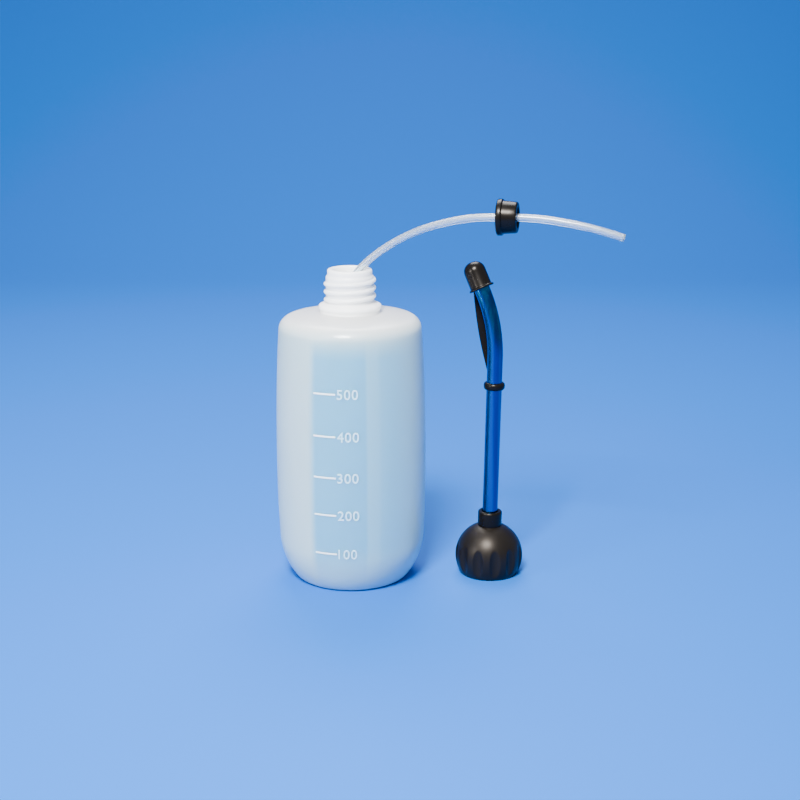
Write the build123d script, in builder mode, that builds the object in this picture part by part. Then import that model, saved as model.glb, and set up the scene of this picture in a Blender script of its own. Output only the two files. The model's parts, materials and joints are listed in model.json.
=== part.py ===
from build123d import *
import os
from math import cos, radians, sin, tan

# A squeeze bottle with its pick-up tube, and the dispensing spout that screws onto it, laid out apart.
# Millimetres, +Z up. The origin is the middle of the bottle's foot, on the surface that it stands on,
# and the spout unit stands on its open cap to the bottle's right, on +X.

# ---- bottle, a round blow-moulded body with a screw neck ----
bottle_height = 170.0
foot_radius = 30.0
heel_height = 24.0
heel_radius = 39.2
belly_height = 64.0
belly_radius = 40.2
shoulder_radius = 37.4
shoulder_round = 6.0
shoulder_rise = 4.8
neck_height = 21.8
foot_round = 3.0
push_up_radius = 23.0
push_up_height = 3.0
bottle_wall = 1.3
neck_bore = 17.4
collar_reach = 2.75
collar_height = 3.4
thread_root_diameter = 25.4
thread_crest_diameter = 27.7
thread_pitch = 4.2
thread_turns = 3.15
lip_diameter = 23.8
lip_height = 4.0

# ---- pick-up tube and the stopper on it ----
tube_diameter = 4.0
tube_bore = 2.4
grip_clearance = 0.1
stopper_flange_diameter = 18.8
stopper_flange_thickness = 3.1
stopper_body_length = 7.4
stopper_root_diameter = 17.0
stopper_tip_diameter = 15.8
stopper_recess_diameter = 11.0
stopper_recess_depth = 1.0

# ---- screw cap ----
spout_axis_x = 75.8
cap_foot_land = 1.75
cap_bulge = 2.6
cap_widest_height = 10.0
cap_height = 27.3
cap_land_diameter = 13.2
cap_thread_clearance = 0.3
cap_thread_depth = 15.0
cap_thread_turns = 2.5
flute_count = 12
flute_radius = 3.9
flute_depth = 1.6
flute_turn = 7.3
socket_clearance = 0.2

# ---- spout: aluminium tube in a rubber bush ----
spout_diameter = 8.3
spout_bore = 6.7
spout_lean = 0.9
lean_height = 15.0
swivel_clearance = 0.05
bush_height = 8.3
bush_spigot_diameter = 10.8
bush_spigot_length = 1.4
foot_flare_diameter = 10.1
foot_flare_thickness = 0.7
bend_start_height = 121.3
bend_radius = 80.0
bend_tilt = 26.8
bend_heading = 151.0
tip_run = 13.1

# ---- tip cap, its strap and the strap's ring ----
tip_cap_diameter = 11.6
tip_cap_length = 15.2
tip_cap_depth = 12.2
tip_flange_diameter = 13.6
tip_flange_thickness = 1.1
tip_cap_clearance = 0.05
ring_diameter = 11.4
ring_height = 4.0
ring_centre_height = 106.4
strap_width = 5.2
strap_thickness = 1.2
strap_parting = 0.1
strap_low_heading = 78.0
strap_high_heading = 107.5
strap_bow = 1.8
strap_bow_heading = 155.0

os.makedirs("parts", exist_ok=True)


def keep(piece, name):
    """Label a finished piece and write it as its own file."""
    piece.part.label = name
    export_step(piece.part, f"parts/{name}.step")


def thread_ridge(radius, height, start, turns, root_width, crest_width):
    """A right-hand helical ridge in the current part: height is outward, and negative for an inner thread."""
    with BuildLine() as path:
        Helix(thread_pitch, thread_pitch * turns, radius, center=(0, 0, start))
    begin = path.line @ 0
    with BuildSketch(Plane(origin=begin, x_dir=(1, 0, 0), z_dir=path.line % 0)) as section:
        with BuildLine():
            Polyline(
                (0, -root_width / 2),
                (height, -crest_width / 2),
                (height, crest_width / 2),
                (0, root_width / 2),
                close=True,
            )
        make_face()
    sweep(sections=section.sketch, path=path.line, is_frenet=True)


spout_stand = Plane(
    origin=(spout_axis_x - lean_height * tan(radians(spout_lean)), 0, 0),
    x_dir=(cos(radians(spout_lean)), 0, -sin(radians(spout_lean))),
    z_dir=(sin(radians(spout_lean)), 0, cos(radians(spout_lean))),
)


def stood(point):
    """A point given in the spout's own frame, which leans a little to +X in the rubber bush."""
    return spout_stand.from_local_coords(point)


def facing(azimuth):
    """The direction at an azimuth in degrees about the spout's leaning axis."""
    turned = Vector(cos(radians(azimuth)), sin(radians(azimuth)), 0)
    return stood(turned) - stood(Vector(0, 0, 0))


# ---- bottle ----
collar_base = bottle_height - neck_height
shoulder_height = collar_base - shoulder_rise
collar_top = collar_base + collar_height
collar_diameter = thread_crest_diameter + 2 * collar_reach
lip_base = bottle_height - lip_height
thread_sink = 0.3

with BuildPart() as bottle:
    with BuildSketch(Plane.XZ) as outline:
        with BuildLine():
            side = ThreePointArc(
                (heel_radius, heel_height),
                (belly_radius, belly_height),
                (shoulder_radius, shoulder_height),
            )
            heel = TangentArc(side @ 0, (foot_radius, 0), tangent=(side % 0) * -1)
            floor = Line(heel @ 1, (push_up_radius, 0))
            push_up = TangentArc((0, push_up_height), floor @ 1, tangent=(1, 0))
            Polyline(push_up @ 0, (0, collar_base), (collar_diameter / 2, collar_base), side @ 1)
        make_face()
        corners = outline.vertices()
        fillet(corners.sort_by_distance((shoulder_radius, shoulder_height))[0], shoulder_round)
        fillet(outline.vertices().sort_by_distance((foot_radius, 0))[0], foot_round)
    revolve(axis=Axis.Z)
    with BuildSketch(Plane.XZ):
        with BuildLine():
            Polyline(
                (0, collar_base - shoulder_rise / 2),
                (collar_diameter / 2, collar_base - shoulder_rise / 2),
                (collar_diameter / 2, collar_top),
                (thread_root_diameter / 2, collar_top),
                (thread_root_diameter / 2, lip_base),
                (lip_diameter / 2, lip_base + (thread_root_diameter - lip_diameter) / 2),
                (lip_diameter / 2, bottle_height),
                (0, bottle_height),
                close=True,
            )
        make_face()
    revolve(axis=Axis.Z)
    round_edges = bottle.edges().filter_by(GeomType.CIRCLE)
    at_collar = round_edges.filter_by(lambda e: abs(e.radius - collar_diameter / 2) < 0.01)
    fillet(at_collar.filter_by(lambda e: abs(e.center().Z - collar_top) < 0.01), 1.4)
    with BuildSketch(Plane.XZ):
        add(outline.sketch)
        mirror(about=Plane.YZ)
        offset(amount=-bottle_wall, kind=Kind.INTERSECTION, mode=Mode.REPLACE)
        with Locations((belly_radius, bottle_height / 2)):
            Rectangle(2 * belly_radius, 2 * bottle_height, mode=Mode.INTERSECT)
    revolve(axis=Axis.Z, mode=Mode.SUBTRACT)
    with BuildSketch(Plane.XY.offset(collar_base - shoulder_rise)):
        Circle(neck_bore / 2)
    extrude(amount=bottle_height, mode=Mode.SUBTRACT)
    lip_edges = bottle.edges().filter_by(GeomType.CIRCLE).group_by(Axis.Z)[-1]
    fillet(lip_edges, 0.5)
    thread_ridge(
        thread_root_diameter / 2 - thread_sink,
        (thread_crest_diameter - thread_root_diameter) / 2 + thread_sink,
        collar_top,
        thread_turns,
        2.6,
        1.1,
    )
keep(bottle, "bottle")

# ---- pick-up tube: from just above the bottle's floor, up through the neck and over in an arch ----
tube_route = [
    (3.8, -0.9, 6.0),
    (0.4, -0.1, 44.6),
    (-3.0, 0.7, 87.3),
    (-5.1, 1.2, 120.3),
    (-5.3, 1.2, 139.7),
    (-4.2, 1.0, 156.2),
    (4.3, -1.0, 169.6),
    (17.4, -4.0, 181.4),
    (35.0, -8.1, 191.4),
    (52.4, -12.1, 196.8),
    (67.1, -15.5, 199.5),
    (95.5, -22.0, 199.8),
    (110.6, -25.5, 197.8),
    (125.7, -29.0, 195.1),
    (139.3, -32.2, 191.0),
]


def corner_radii(points):
    """The largest arc at each corner that leaves a tenth of the shorter run beside it straight."""
    radii = []
    for before, corner, after in zip(points, points[1:], points[2:]):
        run_in = Vector(corner) - Vector(before)
        run_out = Vector(after) - Vector(corner)
        turn = radians(run_in.get_angle(run_out))
        radii.append(0.45 * min(run_in.length, run_out.length) / tan(turn / 2))
    return radii


tube_radii = corner_radii(tube_route)
print("tube radii", [round(r) for r in tube_radii])

with BuildPart() as pickup_tube:
    with BuildLine() as tube_line:
        FilletPolyline(*tube_route, radius=tube_radii)
    with BuildSketch(Plane(origin=tube_line.line @ 0, z_dir=tube_line.line % 0)) as tube_section:
        Circle(tube_diameter / 2)
        Circle(tube_bore / 2, mode=Mode.SUBTRACT)
    sweep(path=tube_line.line)
keep(pickup_tube, "pickup_tube")
tube_length = tube_line.wires()[0].length
tube_fill = pickup_tube.part.volume / (tube_section.sketch.area * tube_length)
print("tube length", round(tube_length, 1), "volume over section times length", round(tube_fill, 4))

# ---- stopper on the straightest stretch of the tube, its flange towards the bottle ----
grip_from = Vector(tube_route[10])
grip_to = Vector(tube_route[11])
stopper_length = stopper_flange_thickness + stopper_body_length
grip_axis = (grip_to - grip_from).normalized()
stopper_foot = (grip_from + grip_to) * 0.5 - grip_axis * (stopper_length / 2)

with BuildPart(Plane(origin=stopper_foot, z_dir=grip_axis)) as tube_stopper:
    Cylinder(
        stopper_flange_diameter / 2,
        stopper_flange_thickness,
        align=(Align.CENTER, Align.CENTER, Align.MIN),
    )
    flange_rims = tube_stopper.edges().filter_by(GeomType.CIRCLE)
    fillet(flange_rims, 0.8)
    with Locations((0, 0, stopper_flange_thickness)):
        Cone(
            stopper_root_diameter / 2,
            stopper_tip_diameter / 2,
            stopper_body_length,
            align=(Align.CENTER, Align.CENTER, Align.MIN),
        )
    with Locations((0, 0, stopper_length - stopper_recess_depth)):
        Cylinder(
            stopper_recess_diameter / 2,
            stopper_recess_depth,
            align=(Align.CENTER, Align.CENTER, Align.MIN),
            mode=Mode.SUBTRACT,
        )
    Cylinder(
        tube_diameter / 2 + grip_clearance,
        stopper_length,
        align=(Align.CENTER, Align.CENTER, Align.MIN),
        mode=Mode.SUBTRACT,
    )
keep(tube_stopper, "tube_stopper")

# ---- screw cap: a ball with finger flutes, hollow from below ----
cap_thread_bore = thread_crest_diameter + 2 * cap_thread_clearance
cap_foot_diameter = cap_thread_bore + 2 * cap_foot_land
cap_diameter = cap_foot_diameter + 2 * cap_bulge
socket_diameter = stopper_root_diameter + socket_clearance
socket_top = cap_thread_depth + stopper_body_length
cap_hole_diameter = bush_spigot_diameter
cap_ridge = (thread_crest_diameter - thread_root_diameter) / 2
crown_spare = 0.3

with BuildPart() as turned_cap:
    with BuildSketch(Plane.XZ):
        with BuildLine():
            dome = TangentArc(
                (cap_diameter / 2, cap_widest_height),
                (cap_land_diameter / 2, cap_height),
                tangent=(0, 1),
            )
            skirt = TangentArc(
                (cap_diameter / 2, cap_widest_height),
                (cap_foot_diameter / 2, 0),
                tangent=(0, -1),
            )
            Polyline(
                dome @ 1,
                (cap_land_diameter / 2, cap_height + crown_spare),
                (0, cap_height + crown_spare),
                (0, socket_top),
                (socket_diameter / 2, socket_top),
                (socket_diameter / 2, cap_thread_depth),
                (cap_thread_bore / 2, cap_thread_depth),
                (cap_thread_bore / 2, 0),
                skirt @ 1,
            )
        make_face()
    revolve(axis=Axis.Z)
    with PolarLocations(
        cap_diameter / 2 - flute_depth + flute_radius, flute_count, start_angle=flute_turn
    ):
        Cylinder(
            flute_radius,
            cap_height,
            align=(Align.CENTER, Align.CENTER, Align.MIN),
            mode=Mode.SUBTRACT,
        )
    thread_ridge(
        cap_thread_bore / 2 + thread_sink,
        -cap_ridge - thread_sink,
        thread_pitch * 0.6,
        cap_thread_turns,
        2.4,
        1.0,
    )

with BuildPart() as screw_cap:
    add(turned_cap.part.moved(Location((spout_axis_x, 0, 0))))
    with Locations(spout_stand.offset(cap_height)):
        Cylinder(
            cap_land_diameter / 2 + 1,
            2,
            align=(Align.CENTER, Align.CENTER, Align.MIN),
            mode=Mode.SUBTRACT,
        )
    with Locations(spout_stand.offset(cap_thread_depth)):
        Cylinder(
            cap_hole_diameter / 2,
            cap_height,
            align=(Align.CENTER, Align.CENTER, Align.MIN),
            mode=Mode.SUBTRACT,
        )
keep(screw_cap, "screw_cap")

# ---- rubber bush that holds the spout in the cap's crown ----
bush_foot = cap_height - bush_spigot_length
bush_bore = spout_diameter + 2 * swivel_clearance

with BuildPart(spout_stand) as spout_bush:
    with Locations((0, 0, cap_height)):
        Cylinder(
            cap_land_diameter / 2,
            bush_height,
            align=(Align.CENTER, Align.CENTER, Align.MIN),
        )
    fillet(spout_bush.edges().filter_by(GeomType.CIRCLE).sort_by(Axis.Z)[-1], 1.3)
    with Locations((0, 0, bush_foot)):
        Cylinder(
            bush_spigot_diameter / 2,
            bush_spigot_length,
            align=(Align.CENTER, Align.CENTER, Align.MIN),
        )
        Cylinder(
            bush_bore / 2,
            bush_height + bush_spigot_length,
            align=(Align.CENTER, Align.CENTER, Align.MIN),
            mode=Mode.SUBTRACT,
        )
keep(spout_bush, "spout_bush")

# ---- bent aluminium spout, with a flared foot that stops it under the bush ----
heading = facing(bend_heading)
upright = spout_stand.z_dir
tip_axis = heading * sin(radians(bend_tilt)) + upright * cos(radians(bend_tilt))
bend_reach = bend_radius * tan(radians(bend_tilt / 2))
bend_corner = stood(Vector(0, 0, bend_start_height + bend_reach))
bend_end = bend_corner + tip_axis * bend_reach
spout_tip = bend_end + tip_axis * tip_run
spout_foot_height = bush_foot - foot_flare_thickness
spout_foot = spout_stand.offset(spout_foot_height)

with BuildPart() as spout_tube:
    with BuildLine() as spout_line:
        FilletPolyline(spout_foot.origin, bend_corner, spout_tip, radius=bend_radius)
    with BuildSketch(spout_foot):
        Circle(spout_diameter / 2)
    sweep(path=spout_line.line)
    with BuildSketch(spout_foot):
        Circle(foot_flare_diameter / 2)
    extrude(amount=foot_flare_thickness)
    with BuildSketch(spout_foot):
        Circle(spout_bore / 2)
    sweep(path=spout_line.line, mode=Mode.SUBTRACT)
keep(spout_tube, "spout_tube")

# ---- rubber cap over the spout's tip ----
tip_rim = spout_tip - tip_axis * (tip_cap_depth - 0.2)
tip_plane = Plane(origin=tip_rim, x_dir=heading.cross(upright), z_dir=tip_axis)

with BuildPart(tip_plane) as tip_cap:
    Cylinder(
        tip_cap_diameter / 2,
        tip_cap_length,
        align=(Align.CENTER, Align.CENTER, Align.MIN),
    )
    fillet(tip_cap.edges().filter_by(GeomType.CIRCLE).sort_by(Axis.Z)[-1], tip_cap_diameter / 2 - 0.6)
    Cylinder(
        tip_flange_diameter / 2,
        tip_flange_thickness,
        align=(Align.CENTER, Align.CENTER, Align.MIN),
    )
    Cylinder(
        spout_diameter / 2 + tip_cap_clearance,
        tip_cap_depth,
        align=(Align.CENTER, Align.CENTER, Align.MIN),
        mode=Mode.SUBTRACT,
    )
keep(tip_cap, "tip_cap")

# ---- ring that grips the spout below the bend ----
with BuildPart(spout_stand.offset(ring_centre_height)) as strap_ring:
    Cylinder(ring_diameter / 2, ring_height)
    fillet(strap_ring.edges().filter_by(GeomType.CIRCLE), 1.4)
    Cylinder(spout_diameter / 2, ring_height, mode=Mode.SUBTRACT)
keep(strap_ring, "strap_ring")

# ---- flat strap behind the bend, from the ring to the tip cap's flange ----
strap_low_reach = (ring_diameter + spout_diameter) / 4 + 0.2
strap_high_reach = spout_diameter / 2 + strap_thickness / 2 + 0.9
strap_low = stood(Vector(0, 0, ring_centre_height + 0.8)) + facing(strap_low_heading) * strap_low_reach
inner_side = heading * cos(radians(bend_tilt)) - upright * sin(radians(bend_tilt))
high_turn = radians(strap_high_heading - bend_heading)
high_side = inner_side * cos(high_turn) + tip_axis.cross(inner_side) * sin(high_turn)
strap_high = tip_rim + high_side * strap_high_reach - tip_axis * strap_parting
strap_middle = (strap_low + strap_high) * 0.5 + facing(strap_bow_heading) * strap_bow
strap_face = facing((strap_low_heading + strap_high_heading) / 2)
below_cap = Plane(origin=tip_rim - tip_axis * strap_parting, x_dir=tip_plane.x_dir, z_dir=tip_axis)

with BuildPart() as cap_strap:
    with BuildLine() as strap_line:
        ThreePointArc(strap_low, strap_middle, strap_high)
    strap_across = strap_face.cross(strap_line.line % 0)
    with BuildSketch(Plane(origin=strap_low, x_dir=strap_across, z_dir=strap_line.line % 0)):
        Rectangle(strap_width, strap_thickness)
    sweep(path=strap_line.line)
    with BuildSketch(below_cap):
        Rectangle(4 * tip_flange_diameter, 4 * tip_flange_diameter)
    extrude(amount=tip_flange_diameter, mode=Mode.SUBTRACT)
keep(cap_strap, "cap_strap")
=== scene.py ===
import json
from math import atan2, cos, exp, log, pi, radians, sin, tan

import bmesh
import bpy
from mathutils import Matrix, Vector
from mathutils.bvhtree import BVHTree

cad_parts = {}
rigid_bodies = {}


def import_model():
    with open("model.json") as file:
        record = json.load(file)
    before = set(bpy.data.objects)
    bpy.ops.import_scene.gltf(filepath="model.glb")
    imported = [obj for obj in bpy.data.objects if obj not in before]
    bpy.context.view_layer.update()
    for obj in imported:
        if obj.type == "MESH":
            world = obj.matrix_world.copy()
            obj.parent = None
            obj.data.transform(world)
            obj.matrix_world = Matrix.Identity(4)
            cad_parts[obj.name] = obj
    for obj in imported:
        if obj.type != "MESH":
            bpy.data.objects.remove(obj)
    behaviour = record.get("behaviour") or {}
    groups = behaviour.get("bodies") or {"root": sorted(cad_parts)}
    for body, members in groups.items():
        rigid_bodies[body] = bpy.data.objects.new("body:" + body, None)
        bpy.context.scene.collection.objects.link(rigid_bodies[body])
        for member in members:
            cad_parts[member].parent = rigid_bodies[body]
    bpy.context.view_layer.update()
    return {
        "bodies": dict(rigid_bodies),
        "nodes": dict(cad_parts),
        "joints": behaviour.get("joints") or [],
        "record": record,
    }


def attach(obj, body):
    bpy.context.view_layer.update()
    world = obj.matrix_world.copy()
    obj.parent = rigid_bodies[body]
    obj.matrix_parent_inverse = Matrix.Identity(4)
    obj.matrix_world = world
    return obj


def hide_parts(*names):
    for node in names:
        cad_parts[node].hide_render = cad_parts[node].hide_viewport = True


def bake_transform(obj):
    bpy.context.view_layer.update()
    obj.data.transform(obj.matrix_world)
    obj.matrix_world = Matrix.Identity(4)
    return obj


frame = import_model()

mm = 0.001

camera_data = bpy.data.cameras.new("camera")
camera_data.lens = 65.25
camera_data.sensor_width = 36.0
camera = bpy.data.objects.new("camera", camera_data)
camera.location = (0.0265, -0.7559, 0.3009)
camera.rotation_euler = (radians(90 - 15), 0, 0)
bpy.context.collection.objects.link(camera)
bpy.context.scene.camera = camera


# ---- pick-up tube ----
# A stiff, milky soft-drawn tube, 4 mm outside and 2.4 mm inside. It hangs from just above the bottle's
# floor, leans on the lip and arches over to the right and towards the viewer, its end cut square.
tube_diameter = 4.0 * mm
tube_bore = 2.4 * mm
tube_route = [
    (3.8, -0.9, 6.0),
    (0.4, -0.1, 44.6),
    (-3.0, 0.7, 87.3),
    (-5.1, 1.2, 120.3),
    (-5.3, 1.2, 139.7),
    (-4.2, 1.0, 156.2),
    (4.3, -1.0, 169.6),
    (17.4, -4.0, 181.4),
    (35.0, -8.1, 191.4),
    (52.4, -12.1, 196.8),
    (67.1, -15.5, 199.5),
    (95.5, -22.0, 199.8),
    (110.6, -25.5, 197.8),
    (125.7, -29.0, 195.1),
    (139.3, -32.2, 191.0),
]


def new_material(name):
    """A node material with one Principled shader, whose sockets the caller sets."""
    material = bpy.data.materials.new(name)
    material.use_nodes = True
    shader = material.node_tree.nodes["Principled BSDF"]
    return material, material.node_tree, shader


def settings(shader, **values):
    """Set shader sockets by name, with _ for each space."""
    for socket, value in values.items():
        shader.inputs[socket.replace("_", " ")].default_value = value


def group_sockets(group, inputs, outputs):
    """Declare a node group's sockets; returns its input and output nodes."""
    for name, kind, default in inputs:
        socket = group.interface.new_socket(name, in_out="INPUT", socket_type=kind)
        socket.default_value = default
    for name, kind in outputs:
        group.interface.new_socket(name, in_out="OUTPUT", socket_type=kind)
    return group.nodes.new("NodeGroupInput"), group.nodes.new("NodeGroupOutput")


def make_grain():
    """A group that gives moulded and drawn surfaces uneven gloss and a fine relief."""
    group = bpy.data.node_groups.new("surface_grain", "ShaderNodeTree")
    inputs, outputs = group_sockets(
        group,
        (
            ("Stretch", "NodeSocketVector", (1, 1, 1)),
            ("Patch Scale", "NodeSocketFloat", 60),
            ("Grain Scale", "NodeSocketFloat", 900),
            ("Glossiest", "NodeSocketFloat", 0.3),
            ("Dullest", "NodeSocketFloat", 0.45),
            ("Relief", "NodeSocketFloat", 0.00005),
        ),
        (("Roughness", "NodeSocketFloat"), ("Normal", "NodeSocketVector")),
    )
    place = group.nodes.new("ShaderNodeTexCoord")
    mapping = group.nodes.new("ShaderNodeMapping")
    group.links.new(place.outputs["Object"], mapping.inputs["Vector"])
    group.links.new(inputs.outputs["Stretch"], mapping.inputs["Scale"])
    patches = group.nodes.new("ShaderNodeTexNoise")
    grains = group.nodes.new("ShaderNodeTexNoise")
    for noise, scale in ((patches, "Patch Scale"), (grains, "Grain Scale")):
        group.links.new(mapping.outputs["Vector"], noise.inputs["Vector"])
        group.links.new(inputs.outputs[scale], noise.inputs["Scale"])
        noise.inputs["Detail"].default_value = 3
    spread = group.nodes.new("ShaderNodeMapRange")
    spread.inputs["From Min"].default_value = 0.3
    spread.inputs["From Max"].default_value = 0.7
    group.links.new(patches.outputs["Fac"], spread.inputs["Value"])
    group.links.new(inputs.outputs["Glossiest"], spread.inputs["To Min"])
    group.links.new(inputs.outputs["Dullest"], spread.inputs["To Max"])
    bump = group.nodes.new("ShaderNodeBump")
    group.links.new(grains.outputs["Fac"], bump.inputs["Height"])
    group.links.new(inputs.outputs["Relief"], bump.inputs["Distance"])
    group.links.new(spread.outputs["Result"], outputs.inputs["Roughness"])
    group.links.new(bump.outputs["Normal"], outputs.inputs["Normal"])
    return group


surface_grain = make_grain()


def grain(tree, shader, **values):
    """Put the shared grain on a shader; values name the group's inputs, with _ for each space."""
    node = tree.nodes.new("ShaderNodeGroup")
    node.node_tree = surface_grain
    settings(node, **values)
    tree.links.new(node.outputs["Roughness"], shader.inputs["Roughness"])
    tree.links.new(node.outputs["Normal"], shader.inputs["Normal"])


tube_plastic, tree, shader = new_material("drawn_tube")
settings(
    shader,
    Base_Color=(0.82, 0.93, 1.0, 1),
    IOR=1.5,
    Transmission_Weight=0.85,
    Subsurface_Weight=0.5,
    Subsurface_Radius=(1.0, 1.0, 1.0),
    Subsurface_Scale=0.002,
    Coat_Weight=0.4,
    Coat_Roughness=0.12,
)
grain(
    tree, shader, Patch_Scale=25, Grain_Scale=250, Glossiest=0.2, Dullest=0.27, Relief=0.000004
)

tube_curve = bpy.data.curves.new("tube", "CURVE")
tube_curve.dimensions = "3D"
tube_curve.resolution_u = 14
tube_curve.bevel_depth = tube_diameter / 2
tube_curve.bevel_resolution = 7
spline = tube_curve.splines.new("NURBS")
spline.points.add(len(tube_route) - 1)
for point, place in zip(spline.points, tube_route):
    point.co = (*(Vector(place) * mm), 1)
spline.order_u = 3
spline.use_endpoint_u = True
tube = bpy.data.objects.new("drawn_tube", tube_curve)
bpy.context.collection.objects.link(tube)
tube.data.materials.append(tube_plastic)
bore = tube.modifiers.new("bore", "SOLIDIFY")
bore.thickness = (tube_diameter - tube_bore) / 2
bore.offset = -1
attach(tube, "pickup_tube")
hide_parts("pickup_tube")


# ---- bottle ----
# Blow-moulded milky polyethylene: a barrel body, a push-up in the foot, a flat shoulder with a rounded
# edge, and a thick neck with a bead, a right-hand thread and a plain lip.
thread_root = 12.7 * mm
thread_crest = 13.85 * mm
thread_pitch = 4.2 * mm


def link_mesh(name, bm, material, smooth_angle=40):
    """Make an object from a bmesh, shaded smooth except at sharp corners."""
    mesh = bpy.data.meshes.new(name)
    bm.to_mesh(mesh)
    bm.free()
    piece = bpy.data.objects.new(name, mesh)
    bpy.context.collection.objects.link(piece)
    mesh.materials.append(material)
    mesh.shade_smooth()
    mesh.set_sharp_from_angle(angle=radians(smooth_angle))
    return piece


def turned(outline, steps=128, closed=False):
    """Turn an outline of (radius, height, rounding) corners about the Z axis, in millimetres."""
    bm = bmesh.new()
    corners = [bm.verts.new((radius * mm, 0, height * mm)) for radius, height, _ in outline]
    for start, end in zip(corners, corners[1:] + corners[:1] if closed else corners[1:]):
        bm.edges.new((start, end))
    for corner, (_, _, rounding) in zip(corners, outline):
        if rounding:
            segments = 3 + int(min(rounding, 30) / 1.5)
            bmesh.ops.bevel(
                bm,
                geom=[corner],
                offset=rounding * mm,
                offset_type="OFFSET",
                segments=segments,
                profile=0.5,
                affect="VERTICES",
                material=-1,
            )
    bmesh.ops.spin(
        bm,
        geom=bm.verts[:] + bm.edges[:],
        cent=(0, 0, 0),
        axis=(0, 0, 1),
        angle=2 * pi,
        steps=steps,
        use_merge=True,
    )
    bmesh.ops.remove_doubles(bm, verts=bm.verts[:], dist=0.00001)
    bmesh.ops.recalc_face_normals(bm, faces=bm.faces[:])
    return bm


bottle_outline = [
    (0, 3.0, 0),
    (14, 2.7, 6),
    (22, 0.0, 2.5),
    (30, 0.0, 2.0),
    (38.9, 10.35, 12.5),
    (42.1, 83.2, 52),
    (37.7, 143.6, 5.0),
    (25.0, 146.5, 5.0),
    (16.1, 147.0, 0.8),
    (16.0, 148.6, 0.5),
    (16.7, 149.3, 0.5),
    (16.7, 150.9, 0.8),
    (12.7, 152.4, 0.5),
    (12.7, 166.0, 0.4),
    (11.9, 167.0, 0.4),
    (11.9, 170.0, 1.0),
    (8.7, 170.0, 0.8),
    (8.7, 145.8, 2.0),
    (24.8, 145.2, 4.0),
    (36.6, 142.2, 4.4),
    (40.8, 83.2, 51),
    (37.4, 11.3, 12),
    (29.2, 1.4, 1.0),
    (22.6, 1.4, 2.0),
    (14.4, 4.0, 6),
    (0, 4.3, 0),
]
bottle_bm = turned(bottle_outline, steps=160)
wall = BVHTree.FromBMesh(bottle_bm)


def helix_ridge(root, crest, start, turns, sink, fade=10, steps_per_turn=72):
    """A right-hand thread ridge, in metres, whose two ends sink into the wall."""
    bm = bmesh.new()
    flank = root - sink
    half_foot, half_crown = 1.4 * mm, 1.15 * mm
    ring = [bm.verts.new((flank, 0, start + height)) for height in (-half_foot, half_foot)]
    for turn in range(20, 161, 20):
        reach = flank + (crest - flank) * sin(radians(turn)) ** 0.8
        ring.insert(-1, bm.verts.new((reach, 0, start - cos(radians(turn)) * half_crown)))
    for first, second in zip(ring, ring[1:] + ring[:1]):
        bm.edges.new((first, second))
    steps = int(turns * steps_per_turn)
    bmesh.ops.spin(
        bm,
        geom=bm.verts[:] + bm.edges[:],
        cent=(0, 0, 0),
        axis=(0, 0, 1),
        dvec=(0, 0, thread_pitch / steps_per_turn),
        angle=2 * pi * turns,
        steps=steps,
    )
    for vert in bm.verts:
        along = (vert.co.z - start) / (thread_pitch * turns)
        near_end = min(along, 1 - along) * steps / fade
        if near_end < 1:
            radius = vert.co.xy.length
            lowered = flank + (radius - flank) * max(near_end, 0.12)
            vert.co.xy *= lowered / radius
    bmesh.ops.holes_fill(bm, edges=[e for e in bm.edges if e.is_boundary], sides=12)
    bmesh.ops.recalc_face_normals(bm, faces=bm.faces[:])
    return bm


def polyethylene(name, transmission, scattering):
    """A milky, waxy plastic that lets a share of the light through and scatters the rest."""
    material, tree, shader = new_material(name)
    settings(
        shader,
        IOR=1.5,
        Transmission_Weight=transmission,
        Subsurface_Weight=1.0,
        Subsurface_Radius=(1.0, 1.0, 1.0),
        Subsurface_Scale=scattering,
        Coat_Weight=0.3,
        Coat_Roughness=0.16,
    )
    grain(
        tree,
        shader,
        Patch_Scale=30,
        Grain_Scale=260,
        Glossiest=0.3,
        Dullest=0.42,
        Relief=0.00004,
    )
    return material, tree, shader


milky, tree, shader = polyethylene("milky_polyethylene", transmission=0.2, scattering=0.006)


def ramp(tree, value, low, high, to_low, to_high):
    """A smooth step of a socket's value from one number to another."""
    node = tree.nodes.new("ShaderNodeMapRange")
    node.interpolation_type = "SMOOTHSTEP"
    for socket, number in zip(("From Min", "From Max", "To Min", "To Max"), (low, high, to_low, to_high)):
        node.inputs[socket].default_value = number
    tree.links.new(value, node.inputs["Value"])
    return node.outputs["Result"]


def combine(tree, kind, first, second):
    """One maths node on two sockets."""
    node = tree.nodes.new("ShaderNodeMath")
    node.operation = kind
    tree.links.new(first, node.inputs[0])
    tree.links.new(second, node.inputs[1])
    return node.outputs["Value"]


# A painted see-through blue stands for the backdrop seen through the wall: a deeper blue from a line left of
# the graduations round to the right, fading towards the back, and whiter up the shoulder, at the foot and in
# a band right of the figures.
place = tree.nodes.new("ShaderNodeTexCoord")
axes = tree.nodes.new("ShaderNodeSeparateXYZ")
tree.links.new(place.outputs["Object"], axes.inputs["Vector"])
flip = tree.nodes.new("ShaderNodeMath")
flip.operation = "MULTIPLY"
flip.inputs[1].default_value = -1
tree.links.new(axes.outputs["Y"], flip.inputs[0])
turn = combine(tree, "ARCTAN2", axes.outputs["X"], flip.outputs["Value"])
from_left = ramp(tree, turn, radians(-33), radians(-25), 0, 1)
to_band = ramp(tree, turn, radians(12), radians(15), 1, 0.72)
past_band = ramp(tree, turn, radians(22), radians(26), 0, 0.13)
to_back = ramp(tree, turn, radians(28), radians(80), 1, 0.1)
painted_see_through_panel = combine(tree, "MULTIPLY", from_left, combine(tree, "ADD", to_band, past_band))
painted_see_through_panel = combine(tree, "MULTIPLY", painted_see_through_panel, to_back)
under_shoulder = ramp(tree, axes.outputs["Z"], 0.128, 0.143, 1, 0)
over_foot = ramp(tree, axes.outputs["Z"], 0.004, 0.03, 0.2, 1)
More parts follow.
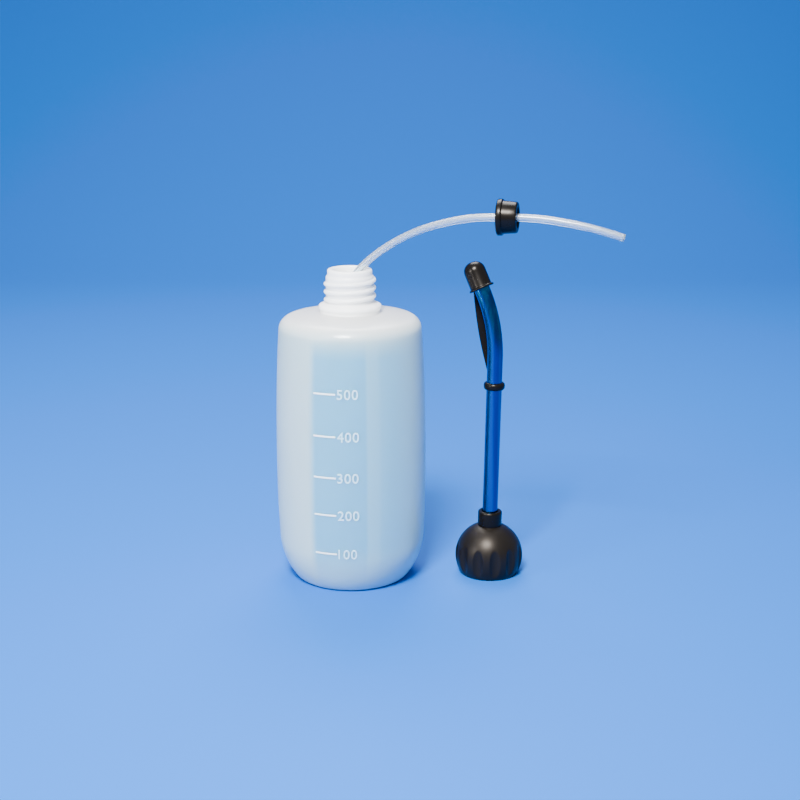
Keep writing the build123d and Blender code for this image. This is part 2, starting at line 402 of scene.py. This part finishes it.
painted_see_through_panel = combine(tree, "MULTIPLY", painted_see_through_panel, combine(tree, "MULTIPLY", under_shoulder, over_foot))
# Painted see-through blue: the panel mask mixes the wall's bluish white towards a deeper blue.
painted_see_through_tint = tree.nodes.new("ShaderNodeMix")
painted_see_through_tint.data_type = "RGBA"
painted_see_through_tint.inputs[6].default_value = (0.53, 0.85, 1.0, 1)
painted_see_through_tint.inputs[7].default_value = (0.17, 0.50, 0.81, 1)
tree.links.new(painted_see_through_panel, painted_see_through_tint.inputs["Factor"])
neck_tint = tree.nodes.new("ShaderNodeMix")
neck_tint.data_type = "RGBA"
neck_tint.inputs[7].default_value = (1.0, 0.98, 0.93, 1)
tree.links.new(ramp(tree, axes.outputs["Z"], 0.136, 0.150, 0, 1), neck_tint.inputs["Factor"])
tree.links.new(painted_see_through_tint.outputs[2], neck_tint.inputs[6])
tree.links.new(neck_tint.outputs[2], shader.inputs["Base Color"])

# The neck's wall is several times thicker, so it is opaque and warmer in colour.
neck_foot = 147.4 * mm
thick_milky, tree, shader = polyethylene("thick_polyethylene", transmission=0.0, scattering=0.003)
settings(shader, Base_Color=(1.0, 0.98, 0.92, 1))

bottle = link_mesh("bottle_shell", bottle_bm, milky)
thread_bm = helix_ridge(thread_root, thread_crest, start=151.6 * mm, turns=3.4, sink=0.4 * mm)
thread = link_mesh("neck_thread", thread_bm, milky)


def merge_into(base, extra):
    """Union one closed piece into another and remove the extra."""
    union = base.modifiers.new("union", "BOOLEAN")
    union.operation = "UNION"
    union.solver = "EXACT"
    union.object = extra
    with bpy.context.temp_override(object=base, active_object=base):
        bpy.ops.object.modifier_apply(modifier=union.name)
    bpy.data.objects.remove(extra)


merge_into(bottle, thread)
bottle.data.materials.append(thick_milky)
for face in bottle.data.polygons:
    if face.center.z > neck_foot:
        face.material_index = 1
bottle.data.shade_smooth()
bottle.data.set_sharp_from_angle(angle=radians(40))
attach(bottle, "bottle")
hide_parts("bottle")

# Graduations: raised bars and figures, moulded with the wall, in the panel of painted see-through blue.
mark_heights = {"500": 111.5, "400": 89.0, "300": 66.8, "200": 46.2, "100": 24.5}
mark_relief = 0.35 * mm


def wrap_on_wall(bm, angle, height):
    """Lay flat work on the bottle: x goes round the wall from the angle, y goes up, z goes outwards."""
    belly, sink, outside = 40.4 * mm, 0.08 * mm, 60 * mm
    for vert in bm.verts:
        z = height + vert.co.y
        turn = angle + vert.co.x / belly
        outward = Vector((sin(turn), -cos(turn), 0))
        hit = wall.ray_cast(Vector((0, 0, z)) + outward * outside, -outward)[0]
        vert.co = outward * (hit.xy.length - sink + vert.co.z) + Vector((0, 0, z))


def raised_text(body, size):
    """A bmesh of generic figures with their left edge at x = 0 and centred on y = 0."""
    font = bpy.data.curves.new(body, "FONT")
    font.body = body
    font.size = size
    font.extrude = mark_relief / 2
    font.bevel_depth = 0.08 * mm
    font.resolution_u = 4
    font.space_character = 1.08
    text = bpy.data.objects.new(body, font)
    bpy.context.collection.objects.link(text)
    bpy.context.view_layer.update()
    mesh = bpy.data.meshes.new_from_object(text.evaluated_get(bpy.context.evaluated_depsgraph_get()))
    bpy.data.objects.remove(text)
    bm = bmesh.new()
    bm.from_mesh(mesh)
    low = min(v.co.x for v in bm.verts)
    middle = (min(v.co.y for v in bm.verts) + max(v.co.y for v in bm.verts)) / 2
    for vert in bm.verts:
        vert.co += Vector((-low, -middle, mark_relief / 2))
    return bm


def raised_bar(across, up, cuts):
    """A bmesh of a flat bar from x = 0, with softened edges, cut along its length to wrap."""
    bm = bmesh.new()
    bmesh.ops.create_cube(bm, size=1)
    bmesh.ops.scale(bm, vec=(across, up, mark_relief), verts=bm.verts[:])
    bmesh.ops.translate(bm, vec=(across / 2, 0, mark_relief / 2), verts=bm.verts[:])
    softness = mark_relief * 0.3
    bmesh.ops.bevel(
        bm, geom=bm.edges[:], offset=softness, segments=2, profile=0.5, affect="EDGES", material=-1
    )
    for cut in range(1, cuts):
        whole = bm.verts[:] + bm.edges[:] + bm.faces[:]
        place = (across * cut / cuts, 0, 0)
        bmesh.ops.bisect_plane(bm, geom=whole, plane_co=place, plane_no=(1, 0, 0))
    return bm


bar_plastic, tree, shader = new_material("raised_marks")
settings(
    shader,
    Base_Color=(0.97, 0.98, 0.99, 1),
    IOR=1.5,
    Subsurface_Weight=0.4,
    Subsurface_Scale=0.001,
)
grain(tree, shader, Patch_Scale=300, Grain_Scale=900, Glossiest=0.26, Dullest=0.36, Relief=0.00001)

# The figures carry the painted see-through blue of the panel behind them, not the bars' white.
figure_plastic = bar_plastic.copy()
figure_plastic.name = "raised_figures"
figure_shader = figure_plastic.node_tree.nodes["Principled BSDF"]
settings(figure_shader, Base_Color=(0.50, 0.78, 0.90, 1))

bar_angle = radians(-27)
figures_angle = radians(-8.6)
marks = []
for label, height in mark_heights.items():
    bar = raised_bar(across=12.2 * mm, up=0.95 * mm, cuts=12)
    wrap_on_wall(bar, bar_angle, height * mm)
    figures = raised_text(label, 7.4 * mm)
    wrap_on_wall(figures, figures_angle, height * mm)
    marks.append(link_mesh(f"graduation_bar_{label}", bar, bar_plastic, 30))
    marks.append(link_mesh(f"graduation_figures_{label}", figures, figure_plastic, 30))
for mark in marks:
    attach(mark, "bottle")


# ---- tube stopper ----
# A moulded black rubber plug, pushed onto the tube: a rounded flange towards the bottle and a slightly
# tapered body that fits the socket inside the cap, its far face dished round the tube.
stopper_length = 10.5
grip_from, grip_to = (Vector(tube_route[n]) * mm for n in (10, 11))
grip_axis = (grip_to - grip_from).normalized()
stopper_foot = (grip_from + grip_to) / 2 - grip_axis * (stopper_length / 2 * mm)
stopper_frame = Matrix.Translation(stopper_foot) @ grip_axis.to_track_quat("Z", "Y").to_matrix().to_4x4()

rubber, tree, shader = new_material("moulded_rubber")
settings(
    shader,
    Base_Color=(0.0042, 0.0034, 0.0028, 1),
    IOR=1.5,
    Specular_IOR_Level=0.15,
    Specular_Tint=(1.0, 0.9, 0.8, 1),
)
grain(tree, shader, Patch_Scale=140, Grain_Scale=1500, Glossiest=0.24, Dullest=0.34, Relief=0.00001)


def place_turned(name, outline, frame, material, body, node, closed=True, steps=96):
    """Turn an outline, stand it in a frame, and let it stand for a CAD node."""
    bm = turned(outline, steps=steps, closed=closed)
    bmesh.ops.transform(bm, matrix=frame, verts=bm.verts[:])
    piece = link_mesh(name, bm, material)
    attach(piece, body)
    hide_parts(node)
    return piece


stopper = place_turned(
    "rubber_stopper",
    [
        (2.3, 0.0, 0.2),
        (9.4, 0.0, 0.9),
        (9.4, 3.1, 0.8),
        (8.55, 3.1, 0.15),
        (8.2, 7.0, 0),
        (7.9, 10.5, 0.7),
        (5.5, 10.5, 0.3),
        (5.2, 9.5, 0.3),
        (2.3, 9.5, 0.2),
    ],
    stopper_frame,
    rubber,
    "stopper",
    "tube_stopper",
)


# ---- screw cap ----
# An injection-moulded black ball with twelve finger flutes, open below: a threaded cavity for the neck,
# a socket for the stopper and a hole in the crown for the bush. The outside is satin, its edges soft.
cap_axis = 75.8
cap_radius = 18.5
flute_depth = 1.6
flute_radius = 3.9
cap_frame = Matrix.Translation((cap_axis * mm, 0, 0))

cap_plastic, tree, shader = new_material("satin_black_plastic")
settings(
    shader,
    Base_Color=(0.0065, 0.005, 0.004, 1),
    IOR=1.5,
    Specular_IOR_Level=0.22,
    Specular_Tint=(1.0, 0.88, 0.76, 1),
)
grain(tree, shader, Patch_Scale=90, Grain_Scale=1800, Glossiest=0.34, Dullest=0.44, Relief=0.000012)


def bulge(height, end_radius, end_height, steps):
    """Points of the arc that leaves the cap's widest circle upright and ends on another circle."""
    across, up = cap_radius - end_radius, end_height - height
    radius = (across**2 + up**2) / (2 * across)
    sweep = atan2(up, end_radius - cap_radius + radius)
    arc = []
    for step in range(steps + 1):
        turn = sweep * step / steps
        arc.append((cap_radius - radius + radius * cos(turn), height + radius * sin(turn), 0))
    return arc


cap_outline = (
    [(5.4, 27.3, 0.2), (5.4, 22.4, 0), (8.6, 22.4, 0.3), (8.6, 15.0, 0.4), (15.05, 15.0, 0.3)]
    + [(15.05, 1.0, 0), (15.4, 0.0, 0.2)]
    + bulge(10, 15.9, 0.35, 14)[::-1]
    + bulge(10, 6.6, 27.3, 34)[1:]
)
cap_bm = turned(cap_outline, steps=360, closed=True)
flute_centre = cap_radius - flute_depth + flute_radius
for vert in cap_bm.verts:
    radius = vert.co.xy.length / mm
    if radius < 15.5:
        continue
    off = (atan2(vert.co.y, vert.co.x) - radians(7.3) + pi / 12) % (pi / 6) - pi / 12
    reach = flute_radius**2 - (flute_centre * sin(off)) ** 2
    if reach > 0:
        floor_radius = flute_centre * cos(off) - reach**0.5
        softened = -log(exp(-9 * (radius - 17)) + exp(-9 * (floor_radius - 17))) / 9 + 17
        vert.co.xy *= softened / radius
bmesh.ops.transform(cap_bm, matrix=cap_frame, verts=cap_bm.verts[:])
cap = link_mesh("ball_cap", cap_bm, cap_plastic)
cap_thread_bm = helix_ridge(15.05 * mm, 13.9 * mm, start=2.6 * mm, turns=2.6, sink=-0.3 * mm)
bmesh.ops.transform(cap_thread_bm, matrix=cap_frame, verts=cap_thread_bm.verts[:])
cap_thread = link_mesh("cap_thread", cap_thread_bm, cap_plastic)
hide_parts("screw_cap")
for piece in (cap, cap_thread):
    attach(piece, "cap")


# ---- spout bush ----
# A moulded rubber collar in the crown of the cap. Its short spigot fills the hole, and the spout stands
# in its bore, leaning a little to the right, as the rubber lets it.
spout_lean = radians(0.9)
lean_foot = (cap_axis - 15 * tan(spout_lean)) * mm
spout_frame = Matrix.Translation((lean_foot, 0, 0)) @ Matrix.Rotation(spout_lean, 4, "Y")

place_turned(
    "bush",
    [
        (4.2, 25.95, 0),
        (5.35, 25.95, 0.2),
        (5.35, 27.32, 0),
        (6.6, 27.32, 0.15),
        (6.55, 31.0, 0),
        (6.6, 35.6, 1.1),
        (4.9, 35.6, 0.25),
        (4.2, 34.7, 0.2),
    ],
    spout_frame,
    rubber,
    "cap",
    "spout_bush",
)


# ---- spout tube ----
# Drawn aluminium tube, 8.3 mm outside and 6.7 mm inside, bent once on an 80 mm radius and anodised a deep
# blue, streaked along it partly by fine drawn lines and partly by painted reflection bands. The foot is
# flared, to stop it under the bush.
spout_radius = 4.15
spout_bore = 3.35
bend_start, bend_radius, tip_run = 121.3, 80.0, 13.1
bend_tilt, bend_heading = radians(26.8), radians(151)
spout_start = 25.2
bend_length = bend_radius * bend_tilt
spout_length = bend_start - spout_start + bend_length + tip_run
spout_turn = spout_frame.to_3x3()


def facing(azimuth):
    """The direction at an azimuth about the spout's leaning axis."""
    return spout_turn @ Vector((cos(azimuth), sin(azimuth), 0))


upright = spout_turn @ Vector((0, 0, 1))
heading = facing(bend_heading)
spout_side = heading.cross(upright)


def along_spout(distance):
    """The middle of the spout, and its direction, at a distance in mm from its foot."""
    straight = bend_start - spout_start
    turn = min(max(distance - straight, 0), bend_length) / bend_radius
    rise = spout_start + min(distance, straight) + bend_radius * sin(turn)
    reach = bend_radius * (1 - cos(turn))
    past = max(distance - straight - bend_length, 0)
    direction = upright * cos(turn) + heading * sin(turn)
    return spout_frame @ Vector((0, 0, rise * mm)) + (heading * reach + direction * past) * mm, direction


anodised, tree, shader = new_material("blue_anodised_aluminium")
settings(
    shader,
    Metallic=1.0,
    Specular_Tint=(0.35, 0.9, 1.0, 1),
    Coat_Weight=0.05,
    Coat_Roughness=0.12,
)
grain(
    tree,
    shader,
    Stretch=(1, 1, 0.02),
    Patch_Scale=400,
    Grain_Scale=2500,
    Glossiest=0.16,
    Dullest=0.26,
    Relief=0.000006,
)

# Base colour: deep blue dye with lighter streaks along the tube, partly fine drawn lines and partly painted
# reflection bands.
place = tree.nodes.new("ShaderNodeTexCoord")
streak_stretch = tree.nodes.new("ShaderNodeMapping")
streak_stretch.inputs["Scale"].default_value = (1, 1, 0.03)
tree.links.new(place.outputs["Object"], streak_stretch.inputs["Vector"])
streaks = tree.nodes.new("ShaderNodeTexNoise")
streaks.inputs["Scale"].default_value = 330
streaks.inputs["Detail"].default_value = 4
tree.links.new(streak_stretch.outputs["Vector"], streaks.inputs["Vector"])
dye_and_painted_reflection = tree.nodes.new("ShaderNodeMix")
dye_and_painted_reflection.data_type = "RGBA"
dye_and_painted_reflection.inputs[6].default_value = (0.0003, 0.045, 0.20, 1)
dye_and_painted_reflection.inputs[7].default_value = (0.0006, 0.125, 0.29, 1)
tree.links.new(ramp(tree, streaks.outputs["Fac"], 0.38, 0.62, 0, 1), dye_and_painted_reflection.inputs["Factor"])
tree.links.new(dye_and_painted_reflection.outputs[2], shader.inputs["Base Color"])

bends = [bend_start - spout_start + bend_length * step / 36 for step in range(37)]
spout_outline = [(0.0, spout_bore), (0.0, 4.9), (0.15, 5.05), (0.55, 5.05)]
spout_outline += [(0.7, 4.9), (0.7, 4.2), (0.75, spout_radius)]
spout_outline += [(place, spout_radius) for place in [48.0] + bends]
spout_outline += [(spout_length - 0.25, spout_radius), (spout_length, spout_radius - 0.25)]
spout_outline += [(spout_length, spout_bore + 0.2), (spout_length - 0.2, spout_bore)]
spout_outline += [(place, spout_bore) for place in bends[::-1] + [48.0]]
spout_bm = bmesh.new()
around = 64
rings = []
for distance, radius in spout_outline:
    middle, direction = along_spout(distance)
    across = direction.cross(spout_side)
    ring = []
    for step in range(around):
        turn = 2 * pi * step / around
        ring.append(spout_bm.verts.new(middle + (spout_side * cos(turn) + across * sin(turn)) * radius * mm))
    rings.append(ring)
for ring, following in zip(rings, rings[1:] + rings[:1]):
    for step in range(around):
        after = (step + 1) % around
        spout_bm.faces.new((ring[step], ring[after], following[after], following[step]))
bmesh.ops.recalc_face_normals(spout_bm, faces=spout_bm.faces[:])
spout = link_mesh("bent_spout", spout_bm, anodised)
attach(spout, "spout")
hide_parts("spout_tube")


# ---- tip cap ----
# A soft black rubber cap with a round end and a thin rolled rim, pushed over the spout's open tip.
spout_tip, tip_axis = along_spout(spout_length)
tip_rim = spout_tip - tip_axis * 12.0 * mm
tip_turn = Matrix((spout_side, tip_axis.cross(spout_side), tip_axis)).transposed()
tip_frame = Matrix.Translation(tip_rim) @ tip_turn.to_4x4()
place_turned(
    "rubber_tip_cap",
    [
        (0, 12.2, 0),
        (4.2, 12.2, 0.4),
        (4.2, 0.0, 0.15),
        (6.8, 0.0, 0.4),
        (6.8, 1.1, 0.45),
        (5.85, 1.15, 0.5),
        (5.8, 15.2, 5.2),
        (0, 15.2, 0),
    ],
    tip_frame,
    rubber,
    "tip_cap",
    "tip_cap",
    closed=False,
)


# ---- strap ring ----
# A round bead of the same rubber, stretched over the spout below the bend, where the strap starts.
ring_height = 106.4
place_turned(
    "strap_bead",
    [
        (4.15, ring_height - 2, 0.3),
        (5.7, ring_height - 2, 1.45),
        (5.7, ring_height + 2, 1.45),
        (4.15, ring_height + 2, 0.3),
    ],
    spout_frame,
    rubber,
    "spout",
    "strap_ring",
)


# ---- tip cap strap ----
# A flat rubber strap, moulded with the bead and the cap. It rises behind the bend, bowed away from the
# spout, and turns with it towards the cap's rim.
strap_width, strap_thickness = 5.2 * mm, 1.2 * mm
low_heading, high_heading = radians(78), radians(107.5)
strap_low = spout_frame @ Vector((0, 0, (ring_height + 0.8) * mm)) + facing(low_heading) * 5.12 * mm
high_turn = high_heading - bend_heading
inner_side = heading * cos(bend_tilt) - upright * sin(bend_tilt)
high_side = inner_side * cos(high_turn) + tip_axis.cross(inner_side) * sin(high_turn)
strap_high = tip_rim + high_side * 5.65 * mm + tip_axis * 0.3 * mm
strap_middle = (strap_low + strap_high) / 2 + facing(radians(155)) * 1.8 * mm
strap_bend = strap_middle * 2 - (strap_low + strap_high) / 2

strap_bm = bmesh.new()
sections = []
for step in range(41):
    part = step / 40
    middle = strap_low * (1 - part) ** 2 + strap_bend * 2 * part * (1 - part) + strap_high * part**2
    direction = ((strap_bend - strap_low) * (1 - part) + (strap_high - strap_bend) * part).normalized()
    face = facing(radians(92.75) + (part - 0.5) * radians(8))
    across = face.cross(direction).normalized()
    outward = direction.cross(across)
    widening = 1 + 0.12 * (2 * part - 1) ** 4
    section = []
    for corner in range(24):
        turn = 2 * pi * corner / 24
        flat, high = cos(turn), sin(turn)
        x = abs(flat) ** 0.35 * (1 if flat > 0 else -1) * strap_width / 2 * widening
        y = abs(high) ** 0.6 * (1 if high > 0 else -1) * strap_thickness / 2
        section.append(strap_bm.verts.new(middle + across * x + outward * y))
    sections.append(section)
for section, following in zip(sections, sections[1:]):
    for corner in range(24):
        after = (corner + 1) % 24
        strap_bm.faces.new((section[corner], section[after], following[after], following[corner]))
strap_bm.faces.new(sections[0][::-1])
strap_bm.faces.new(sections[-1])
bmesh.ops.recalc_face_normals(strap_bm, faces=strap_bm.faces[:])
strap = link_mesh("rubber_strap", strap_bm, rubber)
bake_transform(strap)
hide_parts("cap_strap")


sweep_bm = bmesh.new()
profile = [(-2.0, 0.0), (0.9, 0.0)]
profile += [(0.9 + 0.7 * sin(radians(turn)), 0.7 - 0.7 * cos(radians(turn))) for turn in range(6, 91, 6)]
profile += [(1.6, 3.0)]
line = [sweep_bm.verts.new((-3.0, y, z)) for y, z in profile]
edges = [sweep_bm.edges.new(pair) for pair in zip(line, line[1:])]
wide = bmesh.ops.extrude_edge_only(sweep_bm, edges=edges)["geom"]
bmesh.ops.translate(sweep_bm, vec=(6, 0, 0), verts=[v for v in wide if isinstance(v, bmesh.types.BMVert)])
bmesh.ops.recalc_face_normals(sweep_bm, faces=sweep_bm.faces[:])
backdrop, tree, shader = new_material("blue_sweep")
settings(shader, Base_Color=(0.004, 0.12, 0.50, 1), Roughness=0.55, Specular_IOR_Level=0.12)
link_mesh("sweep", sweep_bm, backdrop)

world = bpy.data.worlds.new("studio")
world.use_nodes = True
world.node_tree.nodes["Background"].inputs["Color"].default_value = (0.72, 0.86, 1.0, 1)
world.node_tree.nodes["Background"].inputs["Strength"].default_value = 0.52
bpy.context.scene.world = world


def soft_light(name, place, aim, size, power):
    """A square area light at a place, turned to a point."""
    data = bpy.data.lights.new(name, "AREA")
    data.size = size
    data.energy = power
    light = bpy.data.objects.new(name, data)
    light.location = place
    light.rotation_euler = (Vector(aim) - Vector(place)).to_track_quat("-Z", "Y").to_euler()
    bpy.context.collection.objects.link(light)


soft_light("key", (-0.15, -0.75, 1.0), (0.04, 0, 0.08), 0.3, 58)
soft_light("side", (-0.8, -0.6, 0.4), (0.05, 0, 0.08), 0.3, 7)
soft_light("back", (0.0, 0.65, 1.1), (0.04, 0, 0.1), 0.7, 22)
